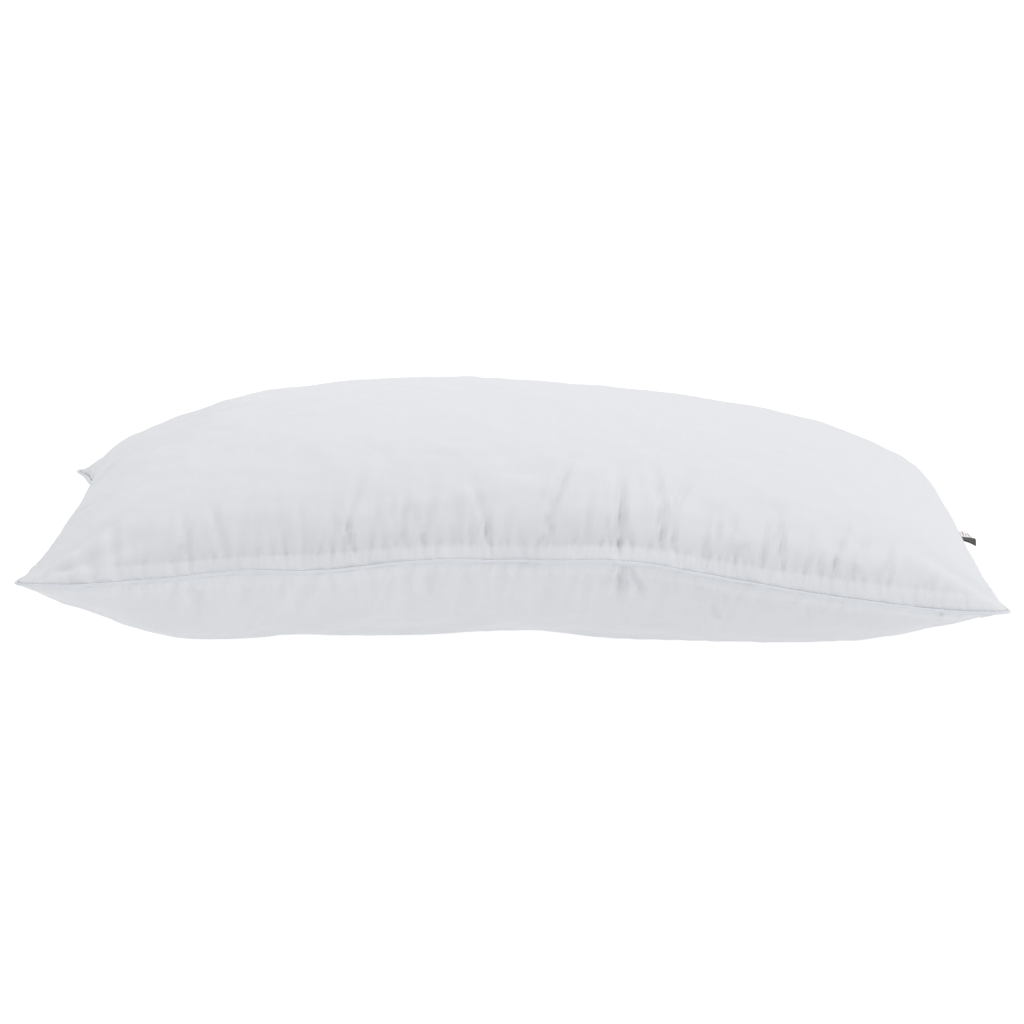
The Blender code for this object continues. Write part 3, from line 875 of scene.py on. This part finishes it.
def slubbed(tree, cut, length, width, seed):
    """Thicker stretches of thread, both ways of the weave."""
    slubs = []
    for scale in ((1 / length, 1 / width, seed), (1 / width, 1 / length, seed)):
        stretched = add(tree, "ShaderNodeMapping", {"Scale": scale, "Location": (seed, seed, 0)}, Vector=cut)[0]
        slubs.append(add(tree, "ShaderNodeTexNoise", {"Scale": 1.0, "Detail": 2.0}, Vector=stretched)[0])
    return add(tree, "ShaderNodeMath", {"operation": "ADD"}, i0=slubs[0], i1=slubs[1])[0]


def percale():
    """Cotton percale, woven and lightly calendered: a matt white with a soft halo of fibre ends."""
    values = {"IOR": 1.5, "Sheen Weight": 0.25, "Sheen Roughness": 0.45, "Specular IOR Level": 0.35}
    made, tree, shader = new_material("white_cotton_percale", values)
    cut = add(tree, "ShaderNodeUVMap", {"uv_map": "cut"})[0]
    # Real threads are 0.25 mm apart; they are drawn 0.8 mm apart so that the weave shows.
    weave = woven(tree, cut, 0.8 * MM)
    slubs = slubbed(tree, cut, 28 * MM, 1.1 * MM, 3.0)
    # The calendered cloth crumples in patches about 10 mm across.
    crumple = add(tree, "ShaderNodeTexNoise", {"Scale": 95.0, "Detail": 3.0, "Roughness": 0.55}, Vector=cut)[0]
    share = add(tree, "ShaderNodeMath", {"operation": "MULTIPLY", 1: 0.5}, i0=slubs)[0]
    tone = add(tree, "ShaderNodeValToRGB", {"tones": [(0.25, "#d2d4d8"), (0.75, "#d6d8dc")]}, Fac=share)[0]
    rough = add(tree, "ShaderNodeMapRange", {"To Min": 0.8, "To Max": 0.93}, Value=crumple)[0]
    creased = add(tree, "ShaderNodeBump", {"Strength": 0.4, "Distance": 0.6 * MM}, Height=crumple)[0]
    slubby = add(tree, "ShaderNodeBump", {"Strength": 0.3, "Distance": 0.03 * MM}, Height=slubs, Normal=creased)[0]
    bumped = add(tree, "ShaderNodeBump", {"Strength": 0.3, "Distance": 0.04 * MM}, Height=weave, Normal=slubby)[0]
    tree.links.new(shader.inputs["Base Color"], tone)
    tree.links.new(shader.inputs["Roughness"], rough)
    tree.links.new(shader.inputs["Normal"], bumped)
    return made


def bias_tape():
    """Bias-cut cotton sateen tape: a little smoother and cooler than the panels, with threads on the slant."""
    sheen = {"Sheen Weight": 0.2, "Sheen Roughness": 0.35}
    values = {"Roughness": 0.6, "IOR": 1.5, "Specular IOR Level": 0.45, **sheen}
    made, tree, shader = new_material("white_bias_tape", values)
    cut = add(tree, "ShaderNodeUVMap", {"uv_map": "cut"})[0]
    turned = add(tree, "ShaderNodeMapping", {"Rotation": (0, 0, math.radians(45))}, Vector=cut)[0]
    # Ribs 1.4 mm apart, coarser than real ones so that they show. A wave's bands lie 0.314 / scale apart.
    settings = {"Scale": 226.757, "Distortion": 0.6, "Detail": 1.0}
    ribs = add(tree, "ShaderNodeTexWave", settings, Vector=turned)["Fac"]
    tone = add(tree, "ShaderNodeValToRGB", {"tones": [(0, "#ced1d7"), (1, "#d9dce1")]}, Fac=ribs)[0]
    bumped = add(tree, "ShaderNodeBump", {"Strength": 0.4, "Distance": 0.1 * MM}, Height=ribs)[0]
    tree.links.new(shader.inputs["Base Color"], tone)
    tree.links.new(shader.inputs["Normal"], bumped)
    return made


def thread():
    """Spun polyester sewing thread: two plies that twist, with a slight shine."""
    values = {"Roughness": 0.5, "IOR": 1.55, "Sheen Weight": 0.15}
    made, tree, shader = new_material("white_sewing_thread", values)
    place = add(tree, "ShaderNodeTexCoord")["Object"]
    # The plies cross the thread every 1.2 mm.
    plies = add(tree, "ShaderNodeTexWave", {"bands_direction": "DIAGONAL", "Scale": 260.0}, Vector=place)["Fac"]
    tone = add(tree, "ShaderNodeValToRGB", {"tones": [(0, "#dfe1e5"), (1, "#f4f5f7")]}, Fac=plies)[0]
    bumped = add(tree, "ShaderNodeBump", {"Strength": 0.5, "Distance": 0.1 * MM}, Height=plies)[0]
    tree.links.new(shader.inputs["Base Color"], tone)
    tree.links.new(shader.inputs["Normal"], bumped)
    return made


def black_tape():
    """Black woven damask tab: close ribs with a dull gleam."""
    values = {"Roughness": 0.62, "IOR": 1.5, "Sheen Weight": 0.1}
    made, tree, shader = new_material("black_damask_tape", values)
    cut = add(tree, "ShaderNodeUVMap", {"uv_map": "cut"})[0]
    weave = woven(tree, cut, 0.35 * MM)
    tone = add(tree, "ShaderNodeValToRGB", {"tones": [(0, "#1b1518"), (1, "#2e2529")]}, Fac=weave)[0]
    bumped = add(tree, "ShaderNodeBump", {"Strength": 0.6, "Distance": 0.08 * MM}, Height=weave)[0]
    tree.links.new(shader.inputs["Base Color"], tone)
    tree.links.new(shader.inputs["Normal"], bumped)
    return made


def printed_tape():
    """White printed satin: a faint pink cast, a soft gleam, and plain grey bars for the printing."""
    values = {"Roughness": 0.42, "IOR": 1.5, "Sheen Weight": 0.1}
    made, tree, shader = new_material("white_printed_satin", values)
    cut = add(tree, "ShaderNodeUVMap", {"uv_map": "cut"})[0]
    weave = woven(tree, cut, 0.3 * MM)
    place = add(tree, "ShaderNodeSeparateXYZ", i0=cut)
    # Plain bars 0.8 mm high every 2 mm, from 1.8 mm in to where chance ends each one.
    rows = add(tree, "ShaderNodeMath", {"operation": "MULTIPLY", 1: 1 / (2 * MM)}, i0=place[1])[0]
    within = add(tree, "ShaderNodeMath", {"operation": "FRACT"}, i0=rows)[0]
    in_row = add(tree, "ShaderNodeMath", {"operation": "LESS_THAN", 1: 0.4}, i0=within)[0]
    number = add(tree, "ShaderNodeMath", {"operation": "FLOOR"}, i0=rows)[0]
    chance = add(tree, "ShaderNodeTexWhiteNoise", {"noise_dimensions": "1D"}, W=number)[0]
    ends = add(tree, "ShaderNodeMapRange", {"To Min": 9 * MM, "To Max": 17 * MM}, Value=chance)[0]
    started = add(tree, "ShaderNodeMath", {"operation": "GREATER_THAN", 1: 1.8 * MM}, i0=place[0])[0]
    ended = add(tree, "ShaderNodeMath", {"operation": "LESS_THAN"}, i0=place[0], i1=ends)[0]
    length = add(tree, "ShaderNodeMath", {"operation": "MULTIPLY"}, i0=started, i1=ended)[0]
    ink = add(tree, "ShaderNodeMath", {"operation": "MULTIPLY"}, i0=in_row, i1=length)[0]
    tone = add(tree, "ShaderNodeValToRGB", {"tones": [(0, "#f0e9ec"), (1, "#85807f")]}, Fac=ink)[0]
    bumped = add(tree, "ShaderNodeBump", {"Strength": 0.4, "Distance": 0.05 * MM}, Height=weave)[0]
    tree.links.new(shader.inputs["Base Color"], tone)
    tree.links.new(shader.inputs["Normal"], bumped)
    return made


# ---------------------------------------------------------------- the pieces
PERCALE = percale()
TAPE = bias_tape()
THREAD = thread()

casing_piece = casing(PERCALE)
piping_piece = piping(TAPE)
needle_piece = seam_stitches("needle_stitches", 1, THREAD)
bobbin_piece = seam_stitches("bobbin_stitches", -1, THREAD)
closing_piece = closing_stitches(THREAD)


def tab_route(share, across):
    """The black tab: out over the piping, folded back on itself, and tucked in again below."""
    fold = 0.9 * MM
    leaf = 1 - np.abs(2 * share - 1)
    out = -LABEL_ROOT + (TAB_REACH + LABEL_ROOT) * leaf + 0 * across
    gap = fold * np.sqrt(np.clip(1 - (leaf - 0.35) ** 2 / 0.45, 0, 1)) * np.sign(1 - 2 * share)
    droop = -2.2 * MM * (np.clip(out, 0, None) / TAB_REACH) ** 2 * (1 - 0.7 * across)
    over = 1.75 * MM * ease(-1.5 * MM, 1.2 * MM, out)
    return out, over + droop + 0.35 * gap


def care_route(share, across):
    """The printed label: one leaf that arches out over the piping and dips at its free end."""
    out = -LABEL_ROOT + (CARE_REACH + LABEL_ROOT) * share + 0 * across
    past = np.clip(out, 0, None) / CARE_REACH
    arch = 2.4 * MM * np.sin(math.pi * np.clip(past * 0.95, 0, 1)) - 2.4 * MM * past**2
    over = 1.7 * MM * ease(-1.5 * MM, 1.2 * MM, out)
    return out, over + arch * (0.75 + 0.25 * across)


tab_low, tab_high = (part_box("side_label")[k][1] for k in (0, 1))
care_low, care_high = (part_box("care_label")[k][1] for k in (0, 1))
tab_piece = label("side_label_tab", tab_low, tab_high, tab_route, TAB_FLAT_LENGTH, black_tape())
care_piece = label("care_label_leaf", care_low, care_high, care_route, CARE_FLAT_LENGTH, printed_tape())

for piece, nodes, record_slot in (
    (casing_piece, ("top_panel", "bottom_panel", "fibre_fill", "overlock_thread"), "white_ticking"),
    (piping_piece, ("piping_tape", "piping_cord"), "white_satin_tape"),
    (needle_piece, ("seam_needle_thread",), "polyester_thread"),
    (bobbin_piece, ("seam_bobbin_thread",), "polyester_thread"),
    (closing_piece, ("closing_thread",), "polyester_thread"),
    (tab_piece, ("side_label",), "black_woven_tape"),
    (care_piece, ("care_label",), "white_printed_tape"),
):
    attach(piece, "root")
    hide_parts(*nodes)


# ---------------------------------------------------------------- floor, lights and camera
def floor():
    """A wide pale round floor, just under the pillow, that glows as a light table does."""
    made = bpy.data.materials.new("pale_floor")
    made.use_nodes = True
    shader = made.node_tree.nodes["Principled BSDF"]
    shader.inputs["Base Color"].default_value = linear("#8c8c8c")
    shader.inputs["Roughness"].default_value = 0.95
    shader.inputs["Specular IOR Level"].default_value = 0.1
    shader.inputs["Emission Color"].default_value = (1, 1, 1, 1)
    shader.inputs["Emission Strength"].default_value = 0.82
    radius, steps = 30, 64
    turns = [math.tau * k / steps for k in range(steps)]
    ring = [(radius * math.cos(turn), radius * math.sin(turn), -0.05 * MM) for turn in turns]
    made_floor = mesh_object("floor", ring, [list(range(steps))], made, smooth=False)


def area_light(name, place, target, size, power):
    light = bpy.data.lights.new(name, "AREA")
    light.shape = "DISK"
    light.size = size
    light.energy = power
    made = bpy.data.objects.new(name, light)
    made.location = place
    made.rotation_euler = (Vector(target) - Vector(place)).to_track_quat("-Z", "Y").to_euler()
    bpy.context.scene.collection.objects.link(made)


floor()
area_light("overhead_softbox", place=(-0.15, 0.5, 2.3), target=(0, 0, 0.05), size=1.6, power=22)
area_light("side_softbox", place=(2.1, -1.4, 1.1), target=(0, 0, 0.06), size=0.8, power=13)

world = bpy.data.worlds.new("white_studio")
bpy.context.scene.world = world
world.use_nodes = True
background = world.node_tree.nodes["Background"]
background.inputs["Color"].default_value = (1, 1, 1, 1)
background.inputs["Strength"].default_value = 0.725

# A long lens, a little above the pillow and square to its front side.
CAMERA_DISTANCE = 3.41
CAMERA_TILT = math.radians(9.8)
CAMERA_LENS = 163.2
VIEW_HEIGHT = 61.5 * MM
camera_data = bpy.data.cameras.new("camera")
camera_data.lens = CAMERA_LENS
camera_data.sensor_width = 36
camera = bpy.data.objects.new("camera", camera_data)
camera_height = VIEW_HEIGHT + CAMERA_DISTANCE * math.sin(CAMERA_TILT)
camera.location = (0, -CAMERA_DISTANCE * math.cos(CAMERA_TILT), camera_height)
camera.rotation_euler = (math.pi / 2 - CAMERA_TILT, 0, 0)
bpy.context.scene.collection.objects.link(camera)
bpy.context.scene.camera = camera
bpy.context.scene.view_settings.view_transform = "Standard"
